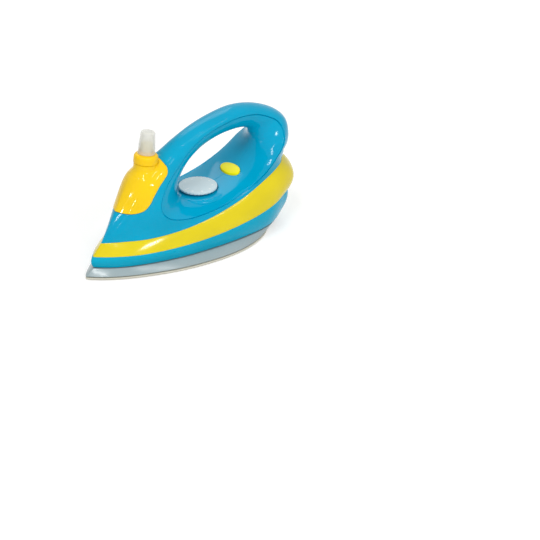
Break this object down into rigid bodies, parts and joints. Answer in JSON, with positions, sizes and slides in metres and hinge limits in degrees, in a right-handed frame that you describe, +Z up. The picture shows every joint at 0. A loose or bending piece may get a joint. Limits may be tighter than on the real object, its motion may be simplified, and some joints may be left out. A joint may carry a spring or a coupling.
{
  "type": "toy steam iron",
  "caption": "Toy steam iron with a loop handle, turning dial, push button and a working pump sprayer under a pull-off cap.",
  "frame": {"origin": "centre of the bounding box's base, on the plane that the sole stands on", "axes": "+X towards the heel with the nose at -X, +Z up, the two body halves meet on Y = 0"},
  "size_m": [0.208, 0.0888, 0.1127],
  "materials": {
    "sole_white": "pale warm white moulded plastic, satin",
    "flange_grey": "blue-grey moulded plastic, satin gloss",
    "skirt_blue": "turquoise blue moulded plastic, glossy",
    "band_yellow": "lemon yellow moulded plastic, glossy",
    "body_blue": "bright blue moulded plastic, glossy",
    "tank_yellow": "warm yellow moulded plastic, glossy",
    "dial_silver": "silver-grey moulded plastic, satin",
    "button_yellow": "bright yellow moulded plastic, satin gloss",
    "collar_yellow": "warm yellow moulded plastic, glossy",
    "cap_frosted": "frosted translucent plastic",
    "seal_black": "soft black rubber",
    "inner_white": "plain off-white moulded plastic",
    "tube_clear": "milky clear plastic tube",
    "head_white": "cream moulded plastic",
    "steel": "bright spring steel",
    "screw_steel": "zinc-plated steel"
  },
  "bodies": {
    "iron": {"sole_plate": "sole_white", "sole_flange": "flange_grey", "lower_skirt": "skirt_blue", "waist_band": "band_yellow", "left_shell": "body_blue", "right_shell": "body_blue", "spray_tank": "tank_yellow", "click_leaf": "inner_white", "leaf_screw": "screw_steel", "button_bracket": "inner_white", "bracket_screws": "screw_steel", "shell_screws": "screw_steel", "base_screws": "screw_steel", "sole_screws": "screw_steel", "button_spring": "steel"},
    "pump_core": {"neck_gasket": "seal_black", "pump_housing": "inner_white", "pump_retainer": "inner_white", "inlet_ball": "steel", "dip_tube": "tube_clear", "pump_spring": "steel"},
    "collar": {"pump_collar": "collar_yellow"},
    "pump_head": {"pump_stem": "inner_white", "spray_head": "head_white", "nozzle_insert": "head_white"},
    "cap": {"spray_cap": "cap_frosted"},
    "dial": {"temperature_dial": "dial_silver", "click_wheel": "inner_white", "dial_screw": "screw_steel"},
    "button": {"steam_button": "button_yellow"}
  },
  "joints": [
    {"name": "pump_lift", "type": "slide", "parent": "iron", "child": "pump_core", "axis": [0.1219, 0, 0.9925], "range_m": [0, 0.0025]},
    {"name": "collar_turn", "type": "hinge", "parent": "pump_core", "child": "collar", "pos_m": [-0.04222, 0, 0.07992], "axis": [0.1219, 0, 0.9925], "range_deg": [-20, 400]},
    {"name": "pump_press", "type": "slide", "parent": "pump_core", "child": "pump_head", "axis": [-0.1219, 0, -0.9925], "range_m": [0, 0.004], "stiffness_N_per_m": 400, "springref_m": -0.0002, "deforming": ["pump_spring"]},
    {"name": "cap_lift", "type": "slide", "parent": "collar", "child": "cap", "axis": [0.1219, 0, 0.9925], "range_m": [0, 0.024]},
    {"name": "dial_turn", "type": "hinge", "parent": "iron", "child": "dial", "pos_m": [0.01165, 0, 0.04482], "axis": [0, 0, 1], "continuous": true},
    {"name": "button_press", "type": "slide", "parent": "iron", "child": "button", "axis": [0, 0, -1], "range_m": [0, 0.002], "stiffness_N_per_m": 300, "springref_m": -0.001, "deforming": ["button_spring"]}
  ],
  "couplings": [
    {"joint": "collar_turn", "follows": "pump_lift", "rad_per_m": 2513.3}
  ]
}
